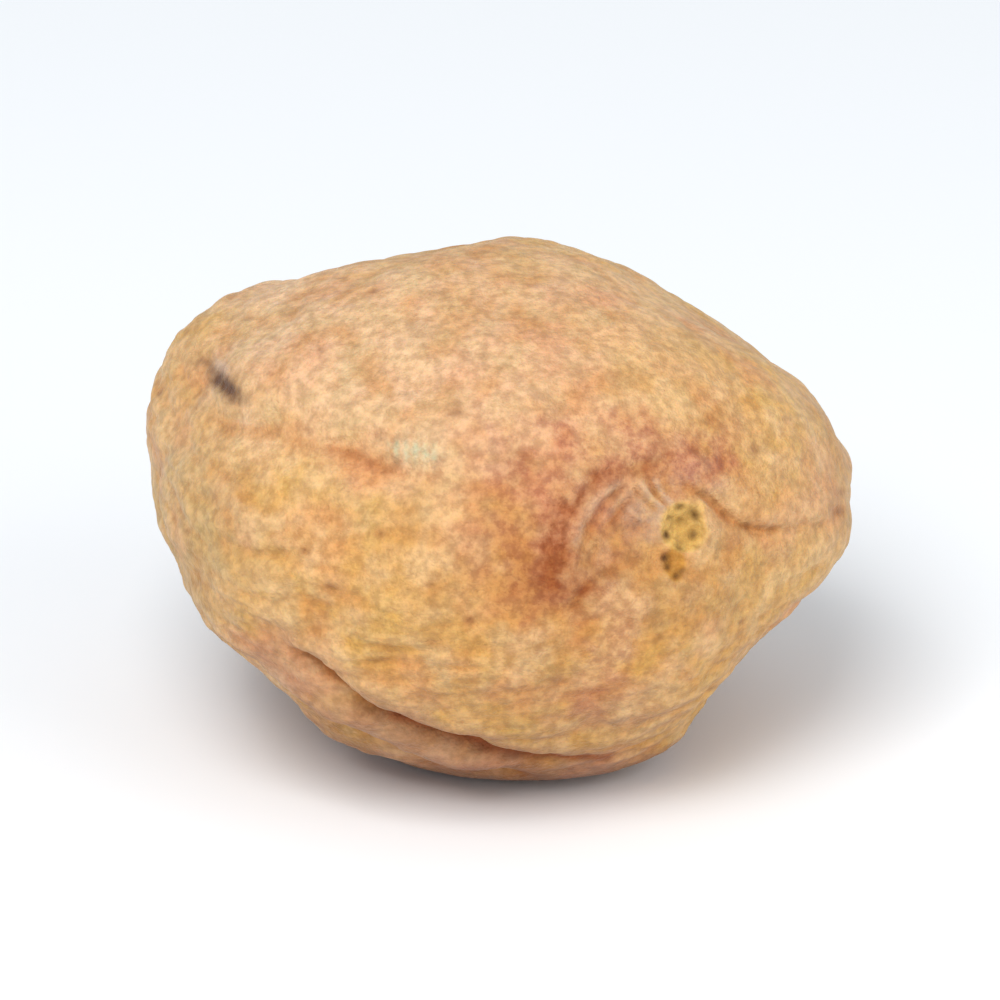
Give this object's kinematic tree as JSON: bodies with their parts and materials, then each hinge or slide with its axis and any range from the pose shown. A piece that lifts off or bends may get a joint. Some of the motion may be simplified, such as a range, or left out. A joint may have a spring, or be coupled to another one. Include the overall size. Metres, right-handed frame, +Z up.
{
  "type": "dried apricot",
  "caption": "Whole dried apricot lying on its lower cheek: a wrinkled orange-yellow fruit with a stem scar in a small cavity, a suture groove and folds.",
  "frame": {"origin": "middle of the footprint's bounding box, on the surface that the fruit lies on", "axes": "+Z up, +X towards the pointed end where the suture groove runs out, -Y towards the side with the stem scar"},
  "size_m": [0.0318, 0.0278, 0.0228],
  "materials": {
    "skin": "Matte dried fruit skin: orange-yellow with a pink-brown blush, deeper orange in the wrinkles, paler on the ridges, slightly translucent."
  },
  "bodies": {
    "root": {"apricot": "skin"}
  },
  "joints": []
}
